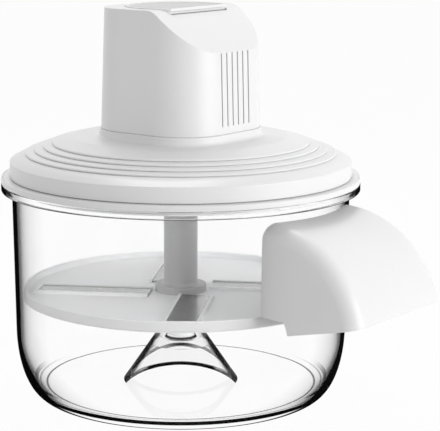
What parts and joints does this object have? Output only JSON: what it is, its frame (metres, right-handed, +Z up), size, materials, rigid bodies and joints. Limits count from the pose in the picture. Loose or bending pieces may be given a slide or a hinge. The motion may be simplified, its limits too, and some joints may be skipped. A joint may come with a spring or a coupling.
{
  "type": "electric clove peeler",
  "caption": "Electric clove peeler: clear bowl with a turning peeling disc and a side outlet chute, under a stepped white lid with a motor head and a push button.",
  "frame": {"origin": "centre of the bowl's flat base, on the surface that it stands on", "axes": "+Z up along the bowl's axis, +X towards the outlet chute, +Y to the left of the chute"},
  "size_m": [0.2483, 0.202, 0.2198],
  "materials": {
    "clear_plastic": "clear, polished",
    "white_plastic": "satin white, moulded",
    "light_grey_plastic": "satin light grey, moulded",
    "mid_grey_plastic": "satin mid grey, moulded",
    "strip_steel": "polished along the strip",
    "steel": "bright",
    "gear_nylon": "natural nylon",
    "bronze": "sintered",
    "copper": "bright copper",
    "black_plastic": "fine texture",
    "magnet": "ground ferrite",
    "carbon": "pressed carbon",
    "board": "green solder mask",
    "silicone": "translucent white silicone",
    "black_rubber": "matt"
  },
  "bodies": {
    "bowl_unit": {"bowl": "clear_plastic", "pedestal": "clear_plastic", "pivot_pin": "clear_plastic", "chute_hood": "white_plastic"},
    "disc_unit": {"peeling_disc": "light_grey_plastic", "hub_bush": "bronze", "drive_column": "mid_grey_plastic", "column_screws": "steel", "peeling_strip_1": "strip_steel", "peeling_strip_2": "strip_steel", "peeling_strip_3": "strip_steel", "peeling_strip_4": "strip_steel"},
    "lid_unit": {"lid_base": "white_plastic", "lid_seal": "silicone", "lid_cover": "white_plastic", "lid_screws": "steel", "motor_housing": "white_plastic", "housing_screws": "steel", "button_spring": "steel", "gearbox_housing": "black_plastic", "ring_gear": "steel", "gearbox_cover": "black_plastic", "gearbox_screws": "steel", "output_bush": "bronze", "shaft_seal": "black_rubber", "motor_can": "steel", "motor_screws": "steel", "motor_end_bell": "black_plastic", "field_magnets": "magnet", "lower_bearing": "bronze", "upper_bearing": "bronze", "carbon_brushes": "carbon", "control_board": "board", "board_screws": "steel", "start_switch": "black_plastic", "power_inlet": "black_plastic"},
    "button_unit": {"push_button": "light_grey_plastic"},
    "carrier_unit": {"planet_carrier": "steel", "planet_pins": "steel", "output_shaft": "steel"},
    "planet_unit_1": {"planet_gear_1": "gear_nylon"},
    "planet_unit_2": {"planet_gear_2": "gear_nylon"},
    "planet_unit_3": {"planet_gear_3": "gear_nylon"},
    "rotor_unit": {"motor_shaft": "steel", "sun_pinion": "bronze", "armature": "steel", "armature_winding": "copper", "commutator": "copper", "cooling_fan": "black_plastic"}
  },
  "joints": [
    {"name": "disc_spin", "type": "hinge", "parent": "bowl_unit", "child": "disc_unit", "pos_m": [0, 0, 0.0557], "axis": [0, 0, 1], "continuous": true},
    {"name": "lid_lift", "type": "slide", "parent": "bowl_unit", "child": "lid_unit", "axis": [0, 0, 1], "range_m": [0, 0.08]},
    {"name": "button_press", "type": "slide", "parent": "lid_unit", "child": "button_unit", "axis": [0, 0, -1], "range_m": [0, 0.003], "stiffness_N_per_m": 800, "springref_m": -0.002, "deforming": ["button_spring"]},
    {"name": "carrier_spin", "type": "hinge", "parent": "lid_unit", "child": "carrier_unit", "pos_m": [0, 0, 0.127], "axis": [0, 0, 1], "continuous": true},
    {"name": "motor_spin", "type": "hinge", "parent": "lid_unit", "child": "rotor_unit", "pos_m": [0, 0, 0.16], "axis": [0, 0, 1], "continuous": true},
    {"name": "planet_spin_1", "type": "hinge", "parent": "carrier_unit", "child": "planet_unit_1", "pos_m": [0.015, 0, 0.133], "axis": [0, 0, 1], "continuous": true},
    {"name": "planet_spin_2", "type": "hinge", "parent": "carrier_unit", "child": "planet_unit_2", "pos_m": [-0.0075, 0.01299, 0.133], "axis": [0, 0, 1], "continuous": true},
    {"name": "planet_spin_3", "type": "hinge", "parent": "carrier_unit", "child": "planet_unit_3", "pos_m": [-0.0075, -0.01299, 0.133], "axis": [0, 0, 1], "continuous": true}
  ],
  "couplings": [
    {"joint": "carrier_spin", "follows": "disc_spin", "ratio": 1},
    {"joint": "motor_spin", "follows": "disc_spin", "ratio": 5},
    {"joint": "planet_spin_1", "follows": "disc_spin", "ratio": -2.6667},
    {"joint": "planet_spin_2", "follows": "disc_spin", "ratio": -2.6667},
    {"joint": "planet_spin_3", "follows": "disc_spin", "ratio": -2.6667}
  ]
}
